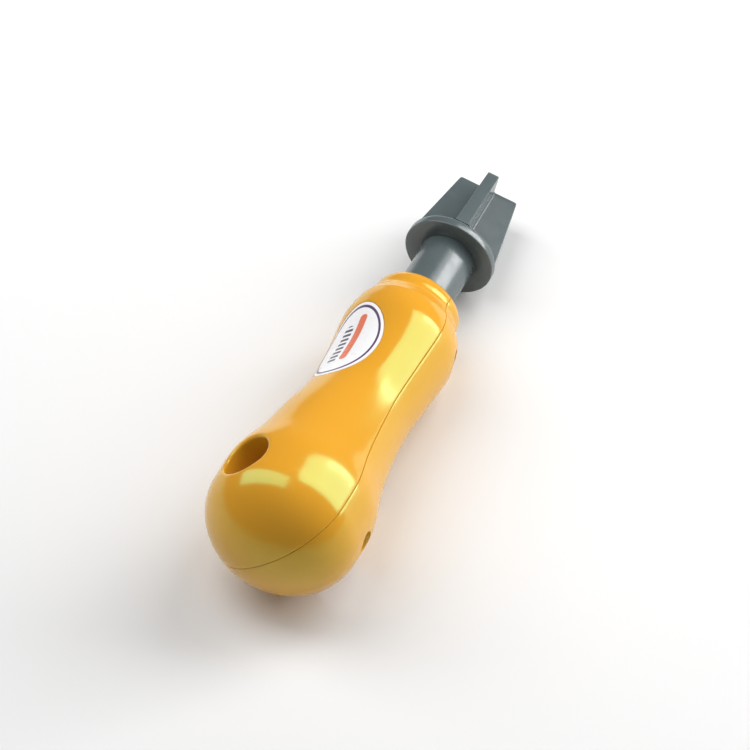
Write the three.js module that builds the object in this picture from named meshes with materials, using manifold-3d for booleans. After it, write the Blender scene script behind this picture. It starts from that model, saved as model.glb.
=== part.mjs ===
// Toy hand drill: a hollow two-piece grip on a spindle that turns with a click, with a cross-shaped bit.
// Millimetres. The spin axis is Y and the bit points along +Y. The origin is the middle of the bit's
// flat end. +Z is up when the tool lies on a table with its label turned towards -X.
import * as THREE from 'three';
import { mergeVertices } from 'three/addons/utils/BufferGeometryUtils.js';
import Module from 'manifold-3d';

const wasm = await Module();
wasm.setup();

// Driving dimensions
const handleLength = 94;
const bareShaft = 16.3;
const bitLength = 24;
const bulbRadius = 19.4;
const waistRadius = 14.2;
const bulgeRadius = 15.6;
const neckRadius = 11.3;
const shaftRadius = 7;
const collarRadius = 11.6;
const wall = 2.2;
const gap = 0.3;
const labelRoll = 38;
const bitRoll = 12;

const toolLength = handleLength + bareShaft + bitLength;
const collarBack = -bitLength;
const halfTurn = Math.PI;
const roundSides = 32;
const smallSides = 12;
const reach = 30;

// A station along the handle, counted from the end that sits in the palm
function station(fromPalmEnd) {
  return fromPalmEnd - toolLength;
}

// ---------------------------------------------------------------- solids

// A closed three.js geometry as a manifold solid, without the empty triangles at a lathe's poles
function solid(geometry) {
  const bare = geometry.clone();
  bare.deleteAttribute('normal');
  bare.deleteAttribute('uv');
  const merged = mergeVertices(bare);
  const corners = merged.index.array;
  const kept = [];
  for (let i = 0; i < corners.length; i += 3) {
    const [a, b, c] = [corners[i], corners[i + 1], corners[i + 2]];
    if (a !== b && b !== c && c !== a) kept.push(a, b, c);
  }
  const vertProperties = new Float32Array(merged.attributes.position.array);
  return new wasm.Manifold(new wasm.Mesh({ numProp: 3, vertProperties, triVerts: new Uint32Array(kept) }));
}

function piece(name, body, material) {
  const data = body.getMesh();
  const geometry = new THREE.BufferGeometry();
  geometry.setAttribute('position', new THREE.BufferAttribute(new Float32Array(data.vertProperties), 3));
  geometry.setIndex(new THREE.BufferAttribute(new Uint32Array(data.triVerts), 1));
  geometry.computeVertexNormals();
  const mesh = new THREE.Mesh(geometry, material);
  mesh.name = name;
  return mesh;
}

// A rod along the spin axis
function rodY(radius, from, to, sides = roundSides) {
  const geometry = new THREE.CylinderGeometry(radius, radius, to - from, sides);
  geometry.translate(0, (from + to) / 2, 0);
  return solid(geometry);
}

// A rod along Z, standing at x, y
function rodZ(radius, from, to, x, y, sides = smallSides) {
  const geometry = new THREE.CylinderGeometry(radius, radius, to - from, sides);
  geometry.rotateX(halfTurn / 2);
  geometry.translate(x, y, (from + to) / 2);
  return solid(geometry);
}

function block(x0, x1, y0, y1, z0, z1) {
  const geometry = new THREE.BoxGeometry(x1 - x0, y1 - y0, z1 - z0);
  geometry.translate((x0 + x1) / 2, (y0 + y1) / 2, (z0 + z1) / 2);
  return solid(geometry);
}

// A ring round the spin axis: each corner of its section is [radius, y], going round once
function ring(section, sides = roundSides) {
  const outline = section.map(([radius, y]) => new THREE.Vector2(radius, y));
  outline.push(outline[0].clone());
  return solid(new THREE.LatheGeometry(outline, sides));
}

function plainRing(inner, outer, from, to, sides = roundSides) {
  return ring([[inner, from], [outer, from], [outer, to], [inner, to]], sides);
}

// A flat outline in X and Z, made thick along Y
function plateAcross(outline, from, to) {
  const geometry = new THREE.ExtrudeGeometry(outline, { depth: to - from, bevelEnabled: false });
  geometry.rotateX(halfTurn / 2);
  geometry.translate(0, to, 0);
  return solid(geometry);
}

// ---------------------------------------------------------------- handle

// The palm end is a flattened dome, the grip a waist between two bulges, and the front a stepped neck
const domeLength = 16;
const gripEnd = 85;
const neckFront = handleLength;
const neckRounding = 3.4;
const grip = new THREE.SplineCurve([
  new THREE.Vector2(bulbRadius, domeLength),
  new THREE.Vector2(bulbRadius - 0.2, 25),
  new THREE.Vector2(bulbRadius - 2.6, 34),
  new THREE.Vector2(waistRadius + 1, 43),
  new THREE.Vector2(waistRadius, 55),
  new THREE.Vector2(waistRadius + 0.6, 66),
  new THREE.Vector2(bulgeRadius, 77),
  new THREE.Vector2(bulgeRadius - 0.5, 81.5),
  new THREE.Vector2(neckRadius + 2.4, gripEnd),
]);

// The thumb rest under the label is a hollow in one side only: a long slope that ends just behind the neck
const saddle = { from: 39, deepest: 69, to: 87, depth: 3.6 };
const label = { middle: 66.5, halfLength: 12.6, halfWidth: 9, thickness: 0.5 };

function saddleDip(fromPalmEnd) {
  if (fromPalmEnd < saddle.from || fromPalmEnd > saddle.to) return 0;
  if (fromPalmEnd < saddle.deepest) {
    const slope = (saddle.deepest - fromPalmEnd) / (saddle.deepest - saddle.from);
    return saddle.depth * Math.cos(slope * halfTurn / 2) ** 2;
  }
  return saddle.depth * Math.cos((fromPalmEnd - saddle.deepest) / (saddle.to - saddle.deepest) * halfTurn / 2);
}

function sinkSaddle(geometry) {
  const place = geometry.attributes.position;
  for (let i = 0; i < place.count; i += 1) {
    const radius = Math.hypot(place.getX(i), place.getZ(i));
    if (radius === 0) continue;
    const facing = Math.max(0, place.getZ(i) / radius);
    const scale = Math.max(0, 1 - saddleDip(place.getY(i) + toolLength) * facing ** 2 / radius);
    place.setX(i, place.getX(i) * scale);
    place.setZ(i, place.getZ(i) * scale);
  }
}

function domeAndGrip(inset) {
  const dome = new THREE.EllipseCurve(0, domeLength, bulbRadius - inset, domeLength - inset, -halfTurn / 2, 0);
  const gripPoints = grip.getPoints(14).slice(1);
  return [...dome.getPoints(6), ...gripPoints.map((point) => new THREE.Vector2(point.x - inset, point.y))];
}

function lathed(outline) {
  const geometry = new THREE.LatheGeometry(outline, roundSides);
  geometry.translate(0, -toolLength, 0);
  sinkSaddle(geometry);
  return solid(geometry);
}

// The whole outside of the handle, its skin moved inwards by inset
function handleBlank(inset = 0) {
  const radius = neckRadius - inset;
  const rounding = new THREE.EllipseCurve(radius - neckRounding, neckFront - neckRounding,
    neckRounding, neckRounding, 0, halfTurn / 2);
  const outline = domeAndGrip(inset);
  outline.push(new THREE.Vector2(radius + 1, gripEnd + 2), new THREE.Vector2(radius + 0.1, gripEnd + 3.8));
  outline.push(...rounding.getPoints(4), new THREE.Vector2(0, neckFront));
  return lathed(outline);
}

// The hollow inside the grip, closed off behind the neck
function handleHollow() {
  const hollowEnd = 83.4;
  const outline = domeAndGrip(wall).filter((point) => point.y < hollowEnd);
  const last = outline[outline.length - 1];
  outline.push(new THREE.Vector2(last.x, hollowEnd), new THREE.Vector2(0, hollowEnd));
  return lathed(outline);
}

// Places on the handle, from the palm end
const hangHole = { at: 19, radius: 6.2, wall: 1.8 };
const frontBearing = { from: 85, to: 90, inner: shaftRadius + 0.2, outer: 9.2 };
const rearBearing = { from: 62, to: 65.6, inner: 3.9, outer: 6.6, flange: 7.8, flangeTo: 66.65 };
const rib = { from: 62.6, to: 65.3 };
const wheel = { from: 68.3, to: 73.9, radius: 8, notches: 12, notchDepth: 1.2 };
const journalRadius = 3.7;
const driveSquare = 7.4;
const shoulder = wheel.to + gap;
const spindleEnd = 61.4;

// One screw for each place; seat is how far its head lies below the joint between the halves
const screwPlaces = [
  { name: 'bulb_left', x: -12.6, at: 20, seat: 5.5 },
  { name: 'bulb_right', x: 12.6, at: 20, seat: 5.5 },
  { name: 'waist', x: 0, at: 47, seat: 5.5 },
  { name: 'front_left', x: -10, at: 80.4, seat: 5.5 },
  { name: 'front_right', x: 10, at: 80.4, seat: 5.5 },
];
const screw = { headRadius: 2.4, headHeight: 1.7, shankRadius: 1.3, tip: 6 };
const boss = { radius: 3.6, well: 2.8, pilotDepth: 7 };

const leaf = { from: 69.3, to: 72.9, inner: 8.6, thickness: 0.6, halfLength: 5.2, toothWidth: 1.2, toothTip: 7.4 };

function sleeve() {
  return rodZ(hangHole.radius + hangHole.wall, -reach, reach, 0, station(hangHole.at), roundSides);
}

function bearingRib() {
  return rodY(bulbRadius, station(rib.from), station(rib.to));
}

// A slotted post for each end of the click leaf, on the side that z points to
function leafPosts(side) {
  const [low, high] = side > 0 ? [leaf.inner - 1, reach] : [-reach, -leaf.inner + 1];
  const left = block(-7, -4, station(leaf.from), station(leaf.to), low, high);
  const right = block(4, 7, station(leaf.from), station(leaf.to), low, high);
  return left.add(right);
}

function leafSlot(side) {
  const near = leaf.inner - gap;
  const far = leaf.inner + leaf.thickness + gap;
  const length = leaf.halfLength + gap;
  return block(-length, length, station(leaf.from) - 1, station(leaf.to) + 1,
    Math.min(side * near, side * far), Math.max(side * near, side * far));
}

// Everything that the spindle and its bearings take up inside the shells
function spindleRoom() {
  const bore = rodY(shaftRadius + gap, station(shoulder), station(handleLength) + 5);
  const pocket = rodY(frontBearing.outer + gap, station(frontBearing.from - gap), station(frontBearing.to + gap));
  const seat = rodY(rearBearing.outer + gap, station(rib.from - 5), station(shoulder));
  const wheelRoom = rodY(wheel.radius + gap, station(rib.to), station(shoulder + 1));
  return bore.add(pocket).add(seat).add(wheelRoom);
}

// side is 1 for the half that carries the label and -1 for the half that takes the screws
function halfShell(side) {
  const blank = handleBlank();
  let inside = sleeve().add(bearingRib()).add(leafPosts(side));
  for (const place of screwPlaces) {
    inside = inside.add(rodZ(boss.radius, -reach, reach, place.x, station(place.at)));
  }
  let shell = blank.subtract(handleHollow()).add(inside.intersect(blank));
  const [low, high] = side > 0 ? [gap / 2, reach] : [-reach, -gap / 2];
  shell = shell.intersect(block(-reach, reach, -toolLength - 1, 0, low, high));
  shell = shell.subtract(spindleRoom()).subtract(leafSlot(side));
  shell = shell.subtract(rodZ(hangHole.radius, -reach, reach, 0, station(hangHole.at), roundSides));
  for (const place of screwPlaces) {
    const y = station(place.at);
    const hole = rodZ(screw.shankRadius + gap, -reach, boss.pilotDepth, place.x, y);
    const well = rodZ(boss.well, -reach, -place.seat, place.x, y);
    shell = shell.subtract(hole).subtract(well);
  }
  return shell;
}

function labelOval(margin) {
  const outline = new THREE.Shape();
  outline.absellipse(0, 0, label.halfWidth + margin, label.halfLength + margin, 0, 2 * halfTurn);
  const geometry = new THREE.ExtrudeGeometry(outline, { depth: reach, bevelEnabled: false, curveSegments: 16 });
  geometry.translate(0, station(label.middle), 0);
  return solid(geometry);
}

function labelPlate() {
  return labelOval(0).intersect(handleBlank().subtract(handleBlank(label.thickness)));
}

function labelRecess() {
  return labelOval(gap).subtract(handleBlank(label.thickness + gap));
}

function clickLeaf(side) {
  const outer = leaf.inner + leaf.thickness;
  const corners = [
    [-leaf.halfLength, outer], [-leaf.halfLength, leaf.inner], [-leaf.toothWidth, leaf.inner],
    [0, leaf.toothTip], [leaf.toothWidth, leaf.inner], [leaf.halfLength, leaf.inner], [leaf.halfLength, outer],
  ];
  const outline = new THREE.Shape(corners.map(([x, z]) => new THREE.Vector2(x, z)));
  const upper = plateAcross(outline, station(leaf.from + gap), station(leaf.to - gap));
  return side > 0 ? upper : upper.rotate([0, 180, 0]);
}

// A screw with a cross recess in its head, seated in the back half and biting into the label half
function shellScrew(place) {
  const y = station(place.at);
  const headTop = -place.seat - gap;
  const headBottom = headTop - screw.headHeight;
  const body = rodZ(screw.headRadius, headBottom, headTop, place.x, y)
    .add(rodZ(screw.shankRadius, headTop - 0.1, screw.tip, place.x, y));
  const slot = { long: 1.5, short: 0.35, deep: 0.9 };
  const across = block(place.x - slot.long, place.x + slot.long, y - slot.short, y + slot.short,
    headBottom - 1, headBottom + slot.deep);
  const along = block(place.x - slot.short, place.x + slot.short, y - slot.long, y + slot.long,
    headBottom - 1, headBottom + slot.deep);
  return body.subtract(across).subtract(along);
}

// ---------------------------------------------------------------- spindle and bit

const bolt = { radius: 1.5, headRadius: 3, headFrom: 57.6, headTo: 59.6, tip: -26 };
const shank = { half: 3.8, back: collarBack - 9 };
const shaftFront = collarBack + 1.2;
const bladeBack = collarBack + 3;
const blade = { rootRadius: 11, endRadius: 7.7, thickness: 3.1 };

function spindleShaft() {
  const square = driveSquare / 2;
  const socket = shank.half + gap;
  const body = rodY(shaftRadius, station(shoulder), shaftFront)
    .add(block(-square, square, station(wheel.from), station(shoulder) + 1, -square, square))
    .add(rodY(journalRadius, station(spindleEnd), station(wheel.from) + 1));
  return body
    .subtract(block(-socket, socket, shank.back - gap, 0, -socket, socket))
    .subtract(rodY(bolt.radius + gap, station(spindleEnd) - 1, 0, smallSides));
}

// Round wheel with V notches, two of them under the click leaves, and a square hole for the spindle
function ratchetWheel() {
  const pitch = 2 * halfTurn / wheel.notches;
  const phase = -THREE.MathUtils.degToRad(labelRoll + bitRoll);
  const notchWidth = pitch * 0.3;
  const corners = [];
  for (let notch = 0; notch < wheel.notches; notch += 1) {
    const middle = phase + notch * pitch;
    const rim = [-0.5, 0.5].map((share) => [wheel.radius, middle + share * (pitch - notchWidth) + pitch / 2]);
    corners.push([wheel.radius - wheel.notchDepth, middle], ...rim);
  }
  const points = corners.map(([r, turn]) => new THREE.Vector2(r * Math.sin(turn), r * Math.cos(turn)));
  const half = driveSquare / 2 + gap;
  const disc = plateAcross(new THREE.Shape(points), station(wheel.from), station(wheel.to));
  return disc.subtract(block(-half, half, -toolLength, 0, -half, half));
}

// A disc with a socket in its back for the shaft's end and a square hole for the bit's shank
function collar() {
  const front = bladeBack - gap;
  const soft = 1;
  const square = shank.half + gap;
  const disc = solid(new THREE.LatheGeometry([
    new THREE.Vector2(0, collarBack), new THREE.Vector2(collarRadius - 0.4, collarBack),
    new THREE.Vector2(collarRadius, collarBack + 0.4), new THREE.Vector2(collarRadius, front - soft),
    new THREE.Vector2(collarRadius - 0.3 * soft, front - 0.3 * soft),
    new THREE.Vector2(collarRadius - soft, front), new THREE.Vector2(0, front),
  ], roundSides));
  return disc
    .subtract(rodY(shaftRadius + gap, collarBack - 1, shaftFront + gap))
    .subtract(block(-square, square, collarBack - 1, 0, -square, square));
}

// Two tapered plates that cross, on a square shank that plugs into the spindle
function crossBit() {
  const outline = new THREE.Shape([
    new THREE.Vector2(-blade.rootRadius, bladeBack), new THREE.Vector2(blade.rootRadius, bladeBack),
    new THREE.Vector2(blade.endRadius, 0), new THREE.Vector2(-blade.endRadius, 0),
  ]);
  const flat = new THREE.ExtrudeGeometry(outline, { depth: blade.thickness, bevelEnabled: false });
  flat.translate(0, 0, -blade.thickness / 2);
  const plate = solid(flat);
  const plug = block(-shank.half, shank.half, shank.back, bladeBack + 0.1, -shank.half, shank.half);
  const pilot = rodY(bolt.radius + gap, shank.back - 1, bolt.tip + 1, smallSides);
  return plate.add(plate.rotate([0, 90, 0])).add(plug).subtract(pilot);
}

function spindleBolt() {
  const head = rodY(bolt.headRadius, station(bolt.headFrom), station(bolt.headTo), smallSides);
  const shaft = rodY(bolt.radius, station(bolt.headTo) - 0.1, bolt.tip, smallSides);
  const slot = block(-bolt.headRadius - 1, bolt.headRadius + 1, station(bolt.headFrom) - 1,
    station(bolt.headFrom) + 0.8, -0.5, 0.5);
  return head.add(shaft).subtract(slot);
}

// ---------------------------------------------------------------- materials

function finish(color, roughness, metalness) {
  return new THREE.MeshStandardMaterial({ color, roughness, metalness });
}

const orangePlastic = () => finish(0xf0a021, 0.28, 0);
const labelFilm = () => finish(0xf4f3f0, 0.35, 0);
const greyPlastic = () => finish(0x6b7475, 0.42, 0);
const bearingPlastic = () => finish(0xd8d6cc, 0.5, 0);
const steel = () => finish(0xa9abad, 0.35, 1);

// ---------------------------------------------------------------- assembly

function handleGroup() {
  const group = new THREE.Group();
  group.add(piece('handle_shell_label', halfShell(1).subtract(labelRecess()), orangePlastic()));
  group.add(piece('handle_shell_back', halfShell(-1), orangePlastic()));
  group.add(piece('label_plate', labelPlate(), labelFilm()));
  for (const place of screwPlaces) {
    group.add(piece(`shell_screw_${place.name}`, shellScrew(place), steel()));
  }
  const front = plainRing(frontBearing.inner, frontBearing.outer, station(frontBearing.from), station(frontBearing.to));
  const { from, to, inner, outer, flange, flangeTo } = rearBearing;
  const rear = ring([
    [inner, station(from)], [outer, station(from)], [outer, station(to)],
    [flange, station(to)], [flange, station(flangeTo)], [inner, station(flangeTo)],
  ]);
  group.add(piece('front_bearing', front, bearingPlastic()));
  group.add(piece('rear_bearing', rear, bearingPlastic()));
  group.add(piece('click_leaf_label_side', clickLeaf(1), steel()));
  group.add(piece('click_leaf_back_side', clickLeaf(-1), steel()));
  group.rotation.y = THREE.MathUtils.degToRad(-labelRoll);
  return group;
}

function spindleGroup() {
  const group = new THREE.Group();
  const thrust = plainRing(journalRadius + gap, 7.4, station(66.95), station(68));
  const endWasher = plainRing(bolt.radius + gap, 5.8, station(bolt.headTo + gap), station(spindleEnd - gap));
  const shaft = piece('spindle_shaft', spindleShaft(), greyPlastic());
  const click = piece('ratchet_wheel', ratchetWheel(), bearingPlastic());
  const bit = piece('cross_bit', crossBit(), greyPlastic());
  group.add(shaft, click, bit);
  group.add(piece('bit_collar', collar(), greyPlastic()));
  group.add(piece('thrust_washer', thrust, steel()));
  group.add(piece('end_washer', endWasher, steel()));
  group.add(piece('spindle_bolt', spindleBolt(), steel()));
  group.rotation.y = THREE.MathUtils.degToRad(bitRoll);
  return group;
}

const drill = new THREE.Group();
drill.add(handleGroup(), spindleGroup());

export default drill;
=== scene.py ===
"""Looks for the toy hand drill: smooth moulded shells, a printed label, and the grey spindle and bit."""
import math

import bmesh
import bpy
from mathutils import Matrix, Vector


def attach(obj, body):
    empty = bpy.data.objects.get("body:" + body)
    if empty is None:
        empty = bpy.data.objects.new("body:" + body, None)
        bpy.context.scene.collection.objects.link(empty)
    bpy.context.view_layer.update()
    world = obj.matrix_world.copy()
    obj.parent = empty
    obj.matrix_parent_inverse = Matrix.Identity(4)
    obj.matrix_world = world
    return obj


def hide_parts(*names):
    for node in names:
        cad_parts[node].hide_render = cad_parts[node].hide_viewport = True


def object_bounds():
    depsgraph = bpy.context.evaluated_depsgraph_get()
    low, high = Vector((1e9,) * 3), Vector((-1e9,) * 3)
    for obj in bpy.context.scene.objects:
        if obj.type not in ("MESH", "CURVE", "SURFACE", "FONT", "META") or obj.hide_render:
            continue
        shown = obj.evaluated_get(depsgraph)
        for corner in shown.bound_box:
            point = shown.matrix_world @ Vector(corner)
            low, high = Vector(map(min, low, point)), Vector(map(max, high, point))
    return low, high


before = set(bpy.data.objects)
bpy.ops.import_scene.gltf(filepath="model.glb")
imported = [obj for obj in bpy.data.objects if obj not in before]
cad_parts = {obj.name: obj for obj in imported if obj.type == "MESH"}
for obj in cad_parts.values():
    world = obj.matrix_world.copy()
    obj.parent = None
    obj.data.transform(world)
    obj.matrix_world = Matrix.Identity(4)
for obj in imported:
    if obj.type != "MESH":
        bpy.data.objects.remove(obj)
cad_low, cad_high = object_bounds()

MM = 0.001
HALF_PI = math.pi / 2

# The same driving sizes as the CAD part, in millimetres
HANDLE_LENGTH = 94.0
BARE_SHAFT = 16.3
BIT_LENGTH = 24.0
BULB_RADIUS = 19.4
WAIST_RADIUS = 14.2
BULGE_RADIUS = 15.6
NECK_RADIUS = 11.3
SHAFT_RADIUS = 7.0
COLLAR_RADIUS = 11.6
TOOL_LENGTH = HANDLE_LENGTH + BARE_SHAFT + BIT_LENGTH
LABEL_ROLL = math.radians(-38)
BIT_ROLL = math.radians(12)

DOME_LENGTH = 16.0
GRIP_STATIONS = [
    (BULB_RADIUS, DOME_LENGTH),
    (BULB_RADIUS - 0.2, 25.0),
    (BULB_RADIUS - 2.6, 34.0),
    (WAIST_RADIUS + 1.0, 43.0),
    (WAIST_RADIUS, 55.0),
    (WAIST_RADIUS + 0.6, 66.0),
    (BULGE_RADIUS, 77.0),
    (BULGE_RADIUS - 0.5, 81.5),
    (NECK_RADIUS + 2.4, 85.0),
]
SADDLE = {"from": 39.0, "deepest": 69.0, "to": 87.0, "depth": 3.6}
LABEL = {"middle": 66.5, "half_length": 12.6, "half_width": 9.0}
NECK_ROUNDING = 3.4
HANG_HOLE = {"at": 19.0, "radius": 6.2, "rounding": 1.1}
WELL_RADIUS = 2.8
WELL_SEAT = 5.5
SHANK_HOLE_RADIUS = 1.5
WELLS = [(-12.6, 20.0), (12.6, 20.0), (0.0, 47.0), (-10.0, 80.4), (10.0, 80.4)]

# Places along the spindle, counted from the palm end as on the handle
SPINDLE_END = 61.4
SQUARE_START = 68.3
JOURNAL_FRONT = 69.3
SHOULDER = 74.2

JOURNAL_RADIUS = 3.7
SQUARE_HALF = 3.7
COLLAR_THICKNESS = 2.7

# The blades' back and the shank's end are Y, counted from the bit's flat end
BLADE = {"back": -21.25, "root": 11.0, "end": 7.7, "half_root": 1.65, "half_end": 1.48}
SHANK = {"end": -33.0, "half": 3.8}
SCREW = {
    "seat": 5.8,
    "tip": 5.5,
    "head_radius": 2.4,
    "head_side": 0.95,
    "head_rounding": 0.7,
    "shank_radius": 1.3,
}

# Where the table touches the collar, as Y, and how the photograph looks at the tool
TABLE_CONTACT = -BIT_LENGTH + 1.5
CAMERA = {"azimuth": 24.5, "elevation": 47.2, "distance_m": 1.5, "lens": 300, "sensor_width": 36}


def station(from_palm_end):
    """Y in millimetres of a place on the handle, counted from the end that sits in the palm."""
    return from_palm_end - TOOL_LENGTH


# ---------------------------------------------------------------- handle surface

def catmull(points, steps):
    """A smooth curve through the points, with steps spans between each two."""
    curve = []
    for i in range(len(points) - 1):
        p0 = points[max(i - 1, 0)]
        p1, p2 = points[i], points[i + 1]
        p3 = points[min(i + 2, len(points) - 1)]
        for k in range(steps):
            t = k / steps
            curve.append(tuple(
                0.5 * (2 * b + (c - a) * t + (2 * a - 5 * b + 4 * c - d) * t ** 2
                       + (3 * b - 3 * c + d - a) * t ** 3)
                for a, b, c, d in zip(p0, p1, p2, p3)))
    curve.append(points[-1])
    return curve


def arc(centre, radii, start, end, steps):
    """Points on an ellipse's arc, angles in radians from +radius towards +y."""
    return [(centre[0] + radii[0] * math.cos(start + (end - start) * k / steps),
             centre[1] + radii[1] * math.sin(start + (end - start) * k / steps))
            for k in range(steps + 1)]


GRIP = catmull(GRIP_STATIONS, 12)


def grip_radius(along):
    """Radius of the handle without its saddle, from the palm end to the end of the grip."""
    if along <= DOME_LENGTH:
        share = 1 - along / DOME_LENGTH
        return BULB_RADIUS * math.sqrt(max(0.0, 1 - share * share))
    for (r0, y0), (r1, y1) in zip(GRIP, GRIP[1:]):
        if along <= y1:
            return r0 + (r1 - r0) * (along - y0) / (y1 - y0)
    return GRIP[-1][0]


def saddle_dip(along):
    """Depth of the thumb rest: a long slope from the bulb, and a quick end behind the neck."""
    if along < SADDLE["from"] or along > SADDLE["to"]:
        return 0.0
    if along < SADDLE["deepest"]:
        slope = (SADDLE["deepest"] - along) / (SADDLE["deepest"] - SADDLE["from"])
        return SADDLE["depth"] * math.cos(slope * HALF_PI) ** 2
    slope = (along - SADDLE["deepest"]) / (SADDLE["to"] - SADDLE["deepest"])
    return SADDLE["depth"] * math.cos(slope * HALF_PI)


def skin_height(x, along, side):
    """How far the skin stands from the parting plane at x; the saddle is on the label side only."""
    radius = grip_radius(along)
    height = math.sqrt(max(0.0, radius * radius - x * x))
    if side < 0 or saddle_dip(along) == 0.0:
        return height
    for _ in range(12):
        facing = height / math.hypot(x, height)
        sunk = radius - saddle_dip(along) * facing * facing
        height = math.sqrt(max(0.0, sunk * sunk - x * x))
    return height


def handle_outline():
    """(radius, along) of each row of the skin, from the palm end over the neck and into its bore."""
    pole = -HALF_PI * 0.985
    dome = arc((0.0, DOME_LENGTH), (BULB_RADIUS, DOME_LENGTH), pole, 0.0, 34)
    shoulder = catmull([
        GRIP_STATIONS[-1],
        (NECK_RADIUS + 1.0, 87.0),
        (NECK_RADIUS + 0.1, 88.8),
        (NECK_RADIUS, 90.3),
    ], 8)
    front = arc((NECK_RADIUS - NECK_ROUNDING, HANDLE_LENGTH - NECK_ROUNDING),
                (NECK_ROUNDING, NECK_ROUNDING), 0.0, HALF_PI, 12)
    bore_radius, bore_depth, lip_rounding = SHAFT_RADIUS + 0.25, 4.0, 0.5
    lip = arc((bore_radius + lip_rounding, HANDLE_LENGTH - lip_rounding),
              (lip_rounding, lip_rounding), HALF_PI, 2 * HALF_PI, 5)
    return dome + GRIP[1:] + shoulder[1:] + front + lip + [(bore_radius, HANDLE_LENGTH - bore_depth)]


# ---------------------------------------------------------------- meshes

SHARP_EDGE = math.radians(40)
SHARP_CUT_EDGE = math.radians(35)


def bound(name, verts, faces, material, turn):
    """A smooth-shaded object from points in millimetres, turned about the spin axis."""
    spin = Matrix.Rotation(turn, 4, "Y")
    mesh = bpy.data.meshes.new(name)
    mesh.from_pydata([spin @ (Vector(v) * MM) for v in verts], [], faces)
    mesh.update()
    mesh.polygons.foreach_set("use_smooth", [True] * len(mesh.polygons))
    mesh.set_sharp_from_angle(angle=SHARP_EDGE)
    mesh.materials.append(material)
    piece = bpy.data.objects.new(name, mesh)
    bpy.context.collection.objects.link(piece)
    return piece


def between(loop, other):
    """Quads that join two loops of vertex numbers of the same length, closed into rings."""
    count = len(loop)
    return [(loop[k], loop[(k + 1) % count], other[(k + 1) % count], other[k]) for k in range(count)]


# SEAM is half the gap between the two halves of the handle
SEAM = 0.06
SEAM_ROUNDING = 0.15
SEAM_DEPTH = 2.0
SEAM_STEPS = 4
NECK_SEAM_FROM = 83
NECK_SEAM_STOP = SHAFT_RADIUS + 0.22
COLUMNS = 96
RIM_STEPS = 5


def seam_edge(radius, along):
    """(radius, height) from the skin round the edge of a half and inwards along the joint."""
    rounding = min(SEAM_ROUNDING, radius / 3)
    room = radius - NECK_SEAM_STOP if along > NECK_SEAM_FROM else radius / 2
    land = max(0.0, min(SEAM_DEPTH, room))
    turns = [k * HALF_PI / SEAM_STEPS for k in range(1, SEAM_STEPS + 1)]
    edge = [(radius - rounding * (1 - math.cos(turn)), SEAM + rounding * (1 - math.sin(turn)))
            for turn in turns]
    edge.append((radius - max(land, rounding), SEAM))
    return [(max(r, h + 0.01), h) for r, h in edge]


def shell_row(radius, along, side):
    """One row of points from one joint edge over the skin to the other."""
    edge = seam_edge(radius, along)
    low = math.asin(min(1.0, (SEAM + min(SEAM_ROUNDING, radius / 3)) / radius))
    row = []
    for column in range(COLUMNS + 1):
        turn = (HALF_PI - low) * (2 * column / COLUMNS - 1)
        dip = saddle_dip(along) * max(0.0, math.cos(turn)) ** 2 if side > 0 else 0.0
        row.append(((radius - dip) * math.sin(turn), (radius - dip) * math.cos(turn)))
    rim = [(math.sqrt(r * r - h * h), h) for r, h in edge]
    row = [(-x, z) for x, z in reversed(rim)] + row + rim
    return [(x, station(along), side * z) for x, z in row]


def line_hole(verts, grid, taken, side, centre, semi, rounding, lining):
    """Opens a round or oval hole in the skin. Its rim is rounded and its lining steps inwards:
    each step is (growth of the hole, height from the height of the skin)."""
    cx, along = centre
    cy = station(along)
    margin = rounding + 0.45
    near = [(i, j) for i, row in enumerate(grid) for j, v in enumerate(row)
            if verts[v][2] * side > SEAM + 1
            and ((verts[v][0] - cx) / (semi[0] + margin)) ** 2
            + ((verts[v][1] - cy) / (semi[1] + margin)) ** 2 < 1]
    i0, i1 = min(i for i, _ in near) - 1, max(i for i, _ in near) + 1
    j0, j1 = min(j for _, j in near) - 1, max(j for _, j in near) + 1
    taken.update((i, j) for i in range(i0, i1) for j in range(j0, j1))
    loop = ([grid[i0][j] for j in range(j0, j1)] + [grid[i][j1] for i in range(i0, i1)]
            + [grid[i1][j] for j in range(j1, j0, -1)] + [grid[i][j0] for i in range(i1, i0, -1)])
    border = [(verts[v][0], verts[v][1]) for v in loop]
    bearings = [math.atan2((y - cy) / semi[1], (x - cx) / semi[0]) for x, y in border]

    def on_oval(grow):
        return [(cx + (semi[0] + grow) * math.cos(b), cy + (semi[1] + grow) * math.sin(b))
                for b in bearings]

    def skin(x, y):
        return skin_height(x, y + TOOL_LENGTH, side)

    rings = []
    outer = on_oval(rounding)
    for k in range(1, RIM_STEPS + 1):
        share = k / RIM_STEPS
        points = [(a + (c - a) * share, b + (d - b) * share)
                  for (a, b), (c, d) in zip(border, outer)]
        rings.append([(x, y, skin(x, y)) for x, y in points])
    inner = on_oval(0.0)
    top = rings[-1]
    corner = [(x, y, skin(x, y)) for x, y in inner]
    foot = [(x, y, z - rounding) for x, y, z in corner]
    for k in range(1, RIM_STEPS + 1):
        t = k / RIM_STEPS
        rings.append([tuple((1 - t) ** 2 * a + 2 * t * (1 - t) * b + t * t * c
                            for a, b, c in zip(p, q, r))
                      for p, q, r in zip(top, corner, foot)])
    for grow, level in lining:
        rings.append([(x, y, level(z)) for (x, y), (_, _, z) in zip(on_oval(grow), corner)])
    faces = []
    for ring in rings:
        start = len(verts)
        verts.extend((x, y, side * z) for x, y, z in ring)
        numbers = list(range(start, start + len(ring)))
        faces.extend(between(loop, numbers))
        loop = numbers
    return faces


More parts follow.
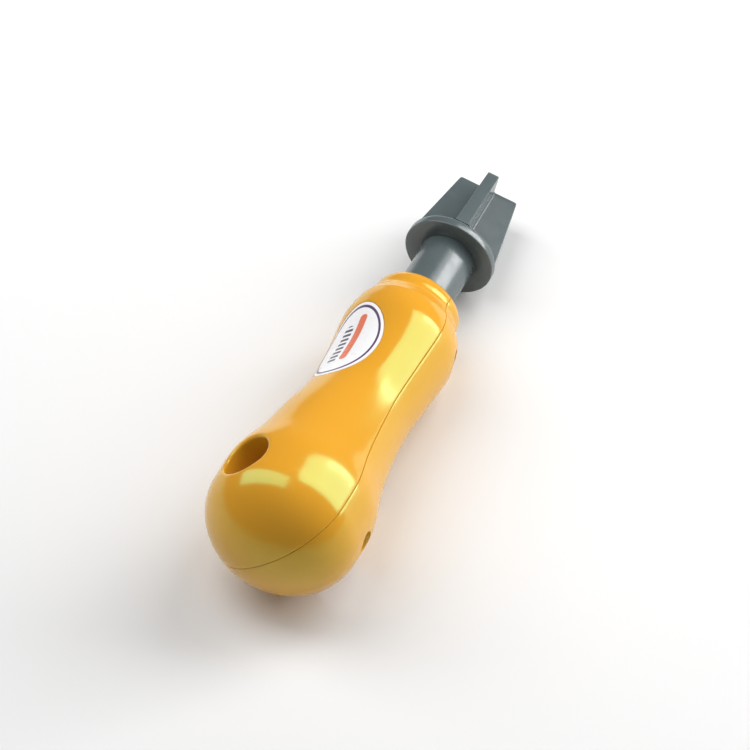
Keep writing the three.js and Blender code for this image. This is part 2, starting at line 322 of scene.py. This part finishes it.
def half_shell(name, side, holes, material):
    """One half of the handle; side is 1 for the label half and -1 for the back half."""
    outline = handle_outline()
    verts, grid, taken, faces = [], [], set(), []
    for radius, along in outline:
        row = shell_row(radius, along, side)
        grid.append(list(range(len(verts), len(verts) + len(row))))
        verts.extend(row)
    for hole in holes:
        faces.extend(line_hole(verts, grid, taken, side, *hole))
    for i in range(len(grid) - 1):
        for j in range(len(grid[0]) - 1):
            if (i, j) not in taken:
                faces.append((grid[i][j], grid[i][j + 1], grid[i + 1][j + 1], grid[i + 1][j]))
    faces.append(tuple(reversed(grid[0])))
    if side < 0:
        faces = [tuple(reversed(face)) for face in faces]
    return bound(name, verts, faces, material, LABEL_ROLL)


def hang_hole():
    """The hole's wall tapers a little to the joint, where its edge is rounded as the skin's is."""
    rounding, taper, land = SEAM_ROUNDING, 0.2, 1.2
    lining = [
        (-taper / 2, lambda skin: skin * 0.6),
        (-taper, lambda skin: SEAM + rounding),
        (-taper + rounding * 0.3, lambda skin: SEAM + rounding * 0.3),
        (-taper + rounding, lambda skin: SEAM),
        (land, lambda skin: SEAM),
    ]
    radius = HANG_HOLE["radius"]
    return (0.0, HANG_HOLE["at"]), (radius, radius), HANG_HOLE["rounding"], lining


def screw_well(x, along):
    """A round well down to the screw's seat, and the narrower hole for its shank."""
    corner, rounding = 0.2, 0.35
    lining = [
        (0.0, lambda skin: WELL_SEAT + corner),
        (-corner, lambda skin: WELL_SEAT),
        (-WELL_RADIUS + SHANK_HOLE_RADIUS, lambda skin: WELL_SEAT),
        (-WELL_RADIUS + SHANK_HOLE_RADIUS, lambda skin: SEAM),
    ]
    return (x, along), (WELL_RADIUS, WELL_RADIUS), rounding, lining


def label_recess():
    """A shallow oval with room round the label; its floor is a narrow ledge under the label's edge."""
    room, edge_depth, depth, rounding = 0.15, 0.42, 0.5, 0.22
    lining = [
        (-0.02, lambda skin: skin - edge_depth),
        (-0.3, lambda skin: skin - depth),
        (-1.6, lambda skin: skin - depth),
    ]
    semi = (LABEL["half_width"] + room, LABEL["half_length"] + room)
    return (0.0, LABEL["middle"]), semi, rounding, lining


def label_film(material):
    """The label follows the skin and lies just below it, with its edge turned down."""
    rings, spokes = 26, 96
    face_sunk, edge_sunk, turned_down = 0.04, 0.07, 0.4
    levels = [(k / rings, face_sunk) for k in range(1, rings)] + [(1.0, edge_sunk), (1.0, turned_down)]
    verts = [(0.0, station(LABEL["middle"]), skin_height(0.0, LABEL["middle"], 1) - face_sunk)]
    print_places = [(0.0, 0.0)]
    for share, sunk in levels:
        for k in range(spokes):
            bearing = 2 * math.pi * k / spokes
            x = LABEL["half_width"] * share * math.cos(bearing)
            along = LABEL["middle"] + LABEL["half_length"] * share * math.sin(bearing)
            verts.append((x, station(along), skin_height(x, along, 1) - sunk))
            print_places.append((x, along - LABEL["middle"]))
    faces = [(0, 1 + k, 1 + (k + 1) % spokes) for k in range(spokes)]
    for ring in range(len(levels) - 1):
        loop = [1 + ring * spokes + k for k in range(spokes)]
        faces.extend(tuple(reversed(quad)) for quad in between(loop, [v + spokes for v in loop]))
    film = bound("label_film", verts, faces, material, LABEL_ROLL)
    layer = film.data.uv_layers.new(name="print_mm")
    for loop in film.data.loops:
        layer.data[loop.index].uv = print_places[loop.vertex_index]
    return film


def lathe(sections, sides=96):
    """Verts and faces of closed bodies of revolution; each section is a list of (radius, y)."""
    verts, faces = [], []
    bearings = [2 * math.pi * k / sides for k in range(sides)]
    for section in sections:
        loops = []
        for radius, y in section:
            start = len(verts)
            verts.extend((radius * math.sin(b), y, radius * math.cos(b)) for b in bearings)
            loops.append(list(range(start, start + sides)))
        for loop, other in zip(loops, loops[1:]):
            faces.extend(between(loop, other))
        faces.append(tuple(reversed(loops[0])))
        faces.append(tuple(loops[-1]))
    return verts, faces


def spindle_body(material):
    """The round shaft, the square that the wheel sits on, and the journal behind it."""
    into_collar, soft, chamfer, into_shaft, spans = 1.2, 0.3, 0.2, 0.5, 12
    shoulder = station(SHOULDER)
    front = -BIT_LENGTH + into_collar
    straight = front - shoulder - 2 * soft
    round_part = [(SHAFT_RADIUS - soft, shoulder)]
    round_part += [(SHAFT_RADIUS, shoulder + soft + straight * k / spans) for k in range(spans + 1)]
    round_part.append((SHAFT_RADIUS - soft, front))
    journal = [
        (JOURNAL_RADIUS - chamfer, station(SPINDLE_END)),
        (JOURNAL_RADIUS, station(SPINDLE_END + chamfer)),
        (JOURNAL_RADIUS, station(JOURNAL_FRONT)),
    ]
    verts, faces = lathe([round_part, journal])
    half = SQUARE_HALF
    start = len(verts)
    for y in (station(SQUARE_START), shoulder + into_shaft):
        verts.extend([(-half, y, -half), (half, y, -half), (half, y, half), (-half, y, half)])
    near, far = list(range(start, start + 4)), list(range(start + 4, start + 8))
    faces.extend(tuple(reversed(quad)) for quad in between(near, far))
    faces.append(tuple(near))
    faces.append(tuple(reversed(far)))
    return bound("shaft_body", verts, faces, material, BIT_ROLL)


def collar_body(material):
    """A disc with a crisp back edge, a soft front edge and a hardly domed front."""
    crisp, soft, doming, flat_radius = 0.3, 1.0, 0.02, 5.6
    back = -BIT_LENGTH
    front = back + COLLAR_THICKNESS
    section = [(SHAFT_RADIUS + 0.12, back + 0.15), (SHAFT_RADIUS + 0.35, back)]
    section += arc((COLLAR_RADIUS - crisp, back + crisp), (crisp, crisp), -HALF_PI, 0.0, 4)
    section += arc((COLLAR_RADIUS - soft, front - soft), (soft, soft), 0.0, HALF_PI, 8)
    section += [(COLLAR_RADIUS - 3.0, front + doming), (flat_radius, front + 2 * doming)]
    verts, faces = lathe([section], 128)
    return bound("collar_disc", verts, faces, material, BIT_ROLL)


def cross_section(reach, half, edge=0.28, corner=0.5, steps=4):
    """A plus sign in X and Z. Each arm has two rounded outer edges and a fillet to the next arm."""
    quarter = [k * HALF_PI / steps for k in range(steps + 1)]
    arm = [(-half + edge - edge * math.cos(a), reach - edge + edge * math.sin(a)) for a in quarter]
    arm += [(half - edge + edge * math.sin(a), reach - edge + edge * math.cos(a)) for a in quarter]
    arm += [(half + corner - corner * math.cos(a), half + corner - corner * math.sin(a)) for a in quarter]
    points = []
    for _ in range(4):
        points.extend(arm)
        arm = [(z, -x) for x, z in arm]
    return points


def cross_bit(material):
    """Four tapered blades that flare a little into the collar and end in one flat plane."""
    back = BLADE["back"]

    def sizes(y):
        share = (y - back) / -back
        return (BLADE["root"] + (BLADE["end"] - BLADE["root"]) * share,
                BLADE["half_root"] + (BLADE["half_end"] - BLADE["half_root"]) * share)

    flare, outward_flare, soft, corner = 0.5, 0.1, 0.25, 0.45
    flare_steps, blade_steps, soft_steps = 5, 24, 4
    straight = -back - flare - soft
    levels = [(back + flare * math.sin(k * HALF_PI / flare_steps),
               flare * (1 - math.cos((flare_steps - k) * HALF_PI / flare_steps)))
              for k in range(flare_steps + 1)]
    levels += [(back + flare + straight * k / blade_steps, 0.0) for k in range(1, blade_steps + 1)]
    levels += [(-soft + soft * math.sin(k * HALF_PI / soft_steps),
                -soft * (1 - math.cos(k * HALF_PI / soft_steps)))
               for k in range(1, soft_steps + 1)]
    verts, faces, loops = [], [], []
    for y, grow in levels:
        reach, half = sizes(y)
        start = len(verts)
        into_corner = max(0.0, y + corner) / corner
        reach -= corner * (1 - math.sqrt(max(0.0, 1 - into_corner ** 2)))
        verts.extend((x, y, z) for x, z in cross_section(reach + min(grow, outward_flare), half + grow))
        loops.append(list(range(start, len(verts))))
    for loop, other in zip(loops, loops[1:]):
        faces.extend(between(loop, other))
    faces.append(tuple(reversed(loops[0])))
    faces.append(tuple(loops[-1]))
    start = len(verts)
    wide = SHANK["half"]
    for y in (SHANK["end"], back - 0.2):
        verts.extend([(-wide, y, -wide), (-wide, y, wide), (wide, y, wide), (wide, y, -wide)])
    near, far = list(range(start, start + 4)), list(range(start + 4, start + 8))
    faces.extend(between(near, far))
    faces.extend([tuple(reversed(near)), tuple(far)])
    return bound("bit_blades", verts, faces, material, BIT_ROLL)


def screw_piece(name, x, along, material):
    """A pan-head screw, head down in its well, with a cross recess sunk into the head."""
    seat = SCREW["seat"]
    head = SCREW["head_radius"]
    shank = SCREW["shank_radius"]
    rounding = SCREW["head_rounding"]
    y = station(along)
    dome = arc((head - rounding, -seat - SCREW["head_side"]), (rounding, rounding), 0.0, -HALF_PI, 4)
    section = [(shank, SCREW["tip"]), (shank, -seat), (head, -seat)] + dome
    sides = 40
    bearings = [2 * math.pi * k / sides for k in range(sides)]
    verts, faces, loops = [], [], []
    for radius, z in section:
        start = len(verts)
        verts.extend((x + radius * math.cos(b), y + radius * math.sin(b), z) for b in bearings)
        loops.append(list(range(start, start + sides)))
    for loop, other in zip(loops, loops[1:]):
        faces.extend(tuple(reversed(quad)) for quad in between(loop, other))
    faces.append(tuple(loops[0]))
    faces.append(tuple(reversed(loops[-1])))
    screw = bound(name, verts, faces, material, LABEL_ROLL)
    recess_depth, overshoot = 1.0, 0.4
    bottom = dome[-1][1]
    outline = cross_section(reach=1.25, half=0.3, edge=0.08, corner=0.12, steps=2)
    tool_verts, tool_faces, rings = [], [], []
    for z, scale in ((bottom - overshoot, 1.1), (bottom + recess_depth, 0.75)):
        start = len(tool_verts)
        tool_verts.extend((x + u * scale, y + v * scale, z) for u, v in outline)
        rings.append(list(range(start, len(tool_verts))))
    tool_faces.extend(between(rings[1], rings[0]))
    tool_faces.append(tuple(rings[0]))
    tool_faces.append(tuple(reversed(rings[1])))
    punch = bound(name + "_recess", tool_verts, tool_faces, material, LABEL_ROLL)
    cut = screw.modifiers.new("recess", "BOOLEAN")
    cut.object = punch
    cut.operation = "DIFFERENCE"
    settle(screw)
    bpy.data.objects.remove(punch)
    return screw


def settle(piece):
    """Applies the modifiers of a piece to its mesh."""
    bpy.context.view_layer.update()
    shown = piece.evaluated_get(bpy.context.evaluated_depsgraph_get())
    piece.data = bpy.data.meshes.new_from_object(shown)
    piece.modifiers.clear()
    piece.data.set_sharp_from_angle(angle=SHARP_CUT_EDGE)


# ---------------------------------------------------------------- materials

class Look:
    """One procedural material: a Principled shader and short ways to add nodes to it."""

    def __init__(self, name):
        self.material = bpy.data.materials.new(name)
        self.material.use_nodes = True
        self.tree = self.material.node_tree
        self.shader = self.tree.nodes["Principled BSDF"]
        self.place = self.node("ShaderNodeTexCoord").outputs["Object"]

    def node(self, kind, inputs=None, **settings):
        made = self.tree.nodes.new(kind)
        for key, value in settings.items():
            setattr(made, key, value)
        for key, value in (inputs or {}).items():
            self.put(made.inputs[key], value)
        return made

    def put(self, socket, value):
        if isinstance(value, bpy.types.NodeSocket):
            self.tree.links.new(value, socket)
        else:
            socket.default_value = value

    def set(self, **values):
        for key, value in values.items():
            self.put(self.shader.inputs[key.replace("_", " ")], value)

    def math(self, operation, a, b=0.0):
        return self.node("ShaderNodeMath", {0: a, 1: b}, operation=operation).outputs[0]

    def noise(self, scale, detail=3.0, roughness=0.5, stretch=(1.0, 1.0, 1.0)):
        placed = self.node("ShaderNodeMapping", {"Vector": self.place, "Scale": stretch})
        made = self.node("ShaderNodeTexNoise", {"Vector": placed.outputs[0], "Scale": scale,
                                                "Detail": detail, "Roughness": roughness})
        return made.outputs["Fac"]

    def ramp(self, value, low, high, out_low, out_high):
        made = self.node("ShaderNodeMapRange", {"Value": value, "From Min": low, "From Max": high,
                                                "To Min": out_low, "To Max": out_high})
        return made.outputs["Result"]

    def mix(self, share, a, b):
        made = self.node("ShaderNodeMix", data_type="RGBA")
        self.put(made.inputs["Factor"], share)
        self.put(made.inputs[6], a)
        self.put(made.inputs[7], b)
        return made.outputs[2]

    def bump(self, height, strength, distance, under=None):
        inputs = {"Height": height, "Strength": strength, "Distance": distance}
        if under is not None:
            inputs["Normal"] = under
        return self.node("ShaderNodeBump", inputs).outputs["Normal"]


def rgb(red, green, blue):
    """A colour given as screen values from 0 to 255, as the shader's linear colour."""
    def linear(value):
        share = value / 255
        return share / 12.92 if share <= 0.04045 else ((share + 0.055) / 1.055) ** 2.4
    return (linear(red), linear(green), linear(blue), 1.0)


def orange_plastic():
    look = Look("orange_plastic")
    flow = look.noise(22.0, 2.0, 0.5, (1.0, 0.25, 1.0))
    base = look.mix(look.ramp(flow, 0.35, 0.65, 0.0, 1.0), rgb(227, 156, 38), rgb(231, 163, 44))
    handled = look.noise(120.0, 3.0, 0.6)
    peel = look.bump(look.noise(140.0, 2.0), 0.04, 0.0004)
    look.set(Base_Color=base, Roughness=look.ramp(handled, 0.35, 0.7, 0.15, 0.2),
             Normal=look.bump(look.noise(2600.0, 2.0), 0.03, 0.00005, peel))
    look.shader.inputs["Specular IOR Level"].default_value = 1.0
    look.shader.inputs["Specular Tint"].default_value = rgb(90, 255, 165)
    look.shader.inputs["Subsurface Weight"].default_value = 0.12
    look.shader.inputs["Subsurface Radius"].default_value = (1.0, 0.45, 0.08)
    look.shader.inputs["Subsurface Scale"].default_value = 0.0012
    return look.material


def grey_plastic():
    look = Look("grey_plastic")
    flow = look.noise(60.0, 3.0, 0.55)
    base = look.mix(look.ramp(flow, 0.35, 0.65, 0.0, 1.0), rgb(82, 93, 95), rgb(88, 99, 101))
    rubbed = look.noise(500.0, 4.0, 0.6)
    scratched = look.mix(look.ramp(rubbed, 0.68, 0.78, 0.0, 0.25), base, rgb(140, 150, 150))
    grain = look.noise(3200.0, 2.0)
    matt = look.bump(grain, 0.06, 0.00006)
    look.set(Base_Color=scratched, Roughness=look.ramp(rubbed, 0.4, 0.7, 0.2, 0.27),
             Normal=look.bump(look.noise(220.0, 2.0), 0.05, 0.0003, matt))
    look.shader.inputs["Specular IOR Level"].default_value = 0.8
    return look.material


def bearing_plastic():
    look = Look("bearing_plastic")
    cloud = look.noise(180.0, 2.0)
    look.set(Base_Color=look.mix(cloud, rgb(226, 223, 212), rgb(236, 233, 224)),
             Roughness=look.ramp(cloud, 0.3, 0.7, 0.42, 0.55),
             Normal=look.bump(look.noise(1800.0, 2.0), 0.1, 0.00005))
    return look.material


def zinc_steel():
    look = Look("zinc_steel")
    crystals = look.noise(1500.0, 4.0, 0.7)
    look.set(Base_Color=look.mix(crystals, rgb(168, 170, 174), rgb(205, 206, 208)),
             Roughness=look.ramp(crystals, 0.3, 0.7, 0.24, 0.42),
             Normal=look.bump(crystals, 0.08, 0.00005))
    look.shader.inputs["Metallic"].default_value = 1.0
    return look.material


def printed_label():
    """White film with a violet-blue outline and a made-up mark: an orange bar beside dark ticks."""
    look = Look("printed_label")
    place = look.node("ShaderNodeUVMap", uv_map="print_mm").outputs["UV"]
    split = look.node("ShaderNodeSeparateXYZ", {"Vector": place})
    u, v = split.outputs[0], split.outputs[1]
    across = look.math("ABSOLUTE", u)
    along = look.math("ABSOLUTE", v)

    def below(value, limit, blur=0.12):
        return look.ramp(value, limit - blur, limit + blur, 1.0, 0.0)

    def both(a, b):
        return look.math("MULTIPLY", a, b)

    oval = look.math("ADD", look.math("POWER", look.math("DIVIDE", across, LABEL["half_width"]), 2.0),
                     look.math("POWER", look.math("DIVIDE", along, LABEL["half_length"]), 2.0))
    rim = look.math("SQRT", oval)
    border = both(below(rim, 0.93, 0.006), look.math("SUBTRACT", 1.0, below(rim, 0.87, 0.006)))

    def rounded_bar(u_middle, v_middle, half_length, half_width):
        sideways = look.math("SUBTRACT", u, u_middle)
        beyond = look.math("SUBTRACT", look.math("ABSOLUTE", look.math("SUBTRACT", v, v_middle)),
                           half_length - half_width)
        sideways_squared = look.math("POWER", look.math("ABSOLUTE", sideways), 2.0)
        beyond_squared = look.math("POWER", look.math("MAXIMUM", beyond, 0.0), 2.0)
        reach = look.math("SQRT", look.math("ADD", sideways_squared, beyond_squared))
        return below(reach, half_width)

    bar = rounded_bar(1.6, 1.2, 7.6, 1.1)
    ticks = both(rounded_bar(-1.9, -0.6, 6.6, 1.4), below(look.math("PINGPONG", v, 0.75), 0.42, 0.08))
    paper = look.mix(look.noise(80.0, 2.0), rgb(246, 245, 247), rgb(250, 249, 250))
    with_bar = look.mix(bar, paper, rgb(228, 122, 90))
    with_ticks = look.mix(ticks, with_bar, rgb(70, 68, 92))
    look.set(Base_Color=look.mix(border, with_ticks, rgb(88, 68, 108)),
             Roughness=look.ramp(look.noise(300.0, 3.0), 0.3, 0.7, 0.26, 0.32),
             Normal=look.bump(look.noise(90.0, 2.0), 0.03, 0.0003))
    return look.material


# ---------------------------------------------------------------- the object

def handle_pieces():
    orange = orange_plastic()
    label_half = half_shell("shell_label_side", 1, [hang_hole(), label_recess()], orange)
    wells = [screw_well(x, along) for x, along in WELLS]
    back_half = half_shell("shell_back_side", -1, [hang_hole()] + wells, orange)
    film = label_film(printed_label())
    for piece, node, slot in ((label_half, "handle_shell_label", "handle_plastic"),
                              (back_half, "handle_shell_back", "handle_plastic"),
                              (film, "label_plate", "label_film")):
        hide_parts(node)
        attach(piece, "handle")


def screws():
    steel = zinc_steel()
    names = ["bulb_left", "bulb_right", "waist", "front_left", "front_right"]
    for name, (x, along) in zip(names, WELLS):
        screw = screw_piece("screw_" + name, x, along, steel)
        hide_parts("shell_screw_" + name)
        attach(screw, "handle")
    return steel


def spindle_pieces():
    grey = grey_plastic()
    for piece, node in ((spindle_body(grey), "spindle_shaft"), (collar_body(grey), "bit_collar"),
                        (cross_bit(grey), "cross_bit")):
        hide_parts(node)
        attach(piece, "spindle")


def dress(material, *names):
    for name in names:
        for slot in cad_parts[name].material_slots:
            slot.material = material


# ---------------------------------------------------------------- floor, light and camera

def resting_slope():
    """Slope of a table that touches both the bulb and the collar."""
    bulb_end = 40
    return max((radius - COLLAR_RADIUS) / (TABLE_CONTACT - station(along))
               for radius, along in handle_outline() if along < bulb_end)


def floor():
    """A sloping plane, a hair below the places where the tool would touch it. Sizes are in metres."""
    size, gap = 3.0, 0.00005
    slope = resting_slope()
    contact = Vector((0.0, TABLE_CONTACT * MM, -COLLAR_RADIUS * MM))
    corners = [(-size, -size), (size, -size), (size, size), (-size, size)]
    verts = [(x, y, contact.z + (y - contact.y) * slope - gap) for x, y in corners]
    mesh = bpy.data.meshes.new("floor")
    mesh.from_pydata(verts, [], [(0, 1, 2, 3)])
    plane = bpy.data.objects.new("floor", mesh)
    bpy.context.collection.objects.link(plane)
    look = Look("floor")
    look.set(Base_Color=look.mix(look.noise(3.0), rgb(238, 238, 238), rgb(242, 242, 242)), Roughness=0.9)
    mesh.materials.append(look.material)


def softbox(name, target, offset, size, power):
    """A rectangular lamp that faces the target, with its width across the spin axis."""
    outward = Vector(offset).normalized()
    across = Vector((0.0, 1.0, 0.0)).cross(outward).normalized()
    light = bpy.data.lights.new(name, "AREA")
    light.shape = "RECTANGLE"
    light.size, light.size_y = size
    light.energy = power
    lamp = bpy.data.objects.new(name, light)
    lamp.location = target + Vector(offset)
    lamp.rotation_euler = Matrix((across, outward.cross(across), outward)).transposed().to_euler()
    bpy.context.collection.objects.link(lamp)


def towards_camera():
    """The direction from the object to the camera."""
    a, e = math.radians(CAMERA["azimuth"]), math.radians(CAMERA["elevation"])
    return Vector((math.sin(a) * math.cos(e), -math.cos(a) * math.cos(e), math.sin(e)))


def studio():
    """The camera of the photograph, three softboxes and a dim white world."""
    middle = (cad_low + cad_high) / 2
    back = towards_camera()
    camera_data = bpy.data.cameras.new("camera")
    camera_data.lens = CAMERA["lens"]
    camera_data.sensor_width = CAMERA["sensor_width"]
    camera = bpy.data.objects.new("camera", camera_data)
    camera.location = middle + back * CAMERA["distance_m"]
    camera.rotation_euler = (-back).to_track_quat("-Z", "Y").to_euler()
    bpy.context.collection.objects.link(camera)
    bpy.context.scene.camera = camera
    shaft = Vector((0.0, -0.032, 0.0))
    softbox("key", middle, offset=(0.4, 0.34, 0.42), size=(0.9, 0.33), power=4.6)
    softbox("strip", shaft, offset=(0.42, 0.41, 0.28), size=(0.5, 0.07), power=0.75)
    softbox("top", middle, offset=(-0.4, 0.0, 0.62), size=(0.9, 0.36), power=3.8)
    world = bpy.data.worlds.new("studio")
    world.use_nodes = True
    world.node_tree.nodes["Background"].inputs["Color"].default_value = (1.0, 1.0, 1.0, 1.0)
    world.node_tree.nodes["Background"].inputs["Strength"].default_value = 0.2
    bpy.context.scene.world = world
    bpy.context.scene.view_settings.view_transform = "Standard"


handle_pieces()
steel = screws()
spindle_pieces()
dress(bearing_plastic(), "front_bearing", "rear_bearing", "ratchet_wheel")
dress(steel, "click_leaf_label_side", "click_leaf_back_side", "thrust_washer", "end_washer", "spindle_bolt")
floor()
studio()
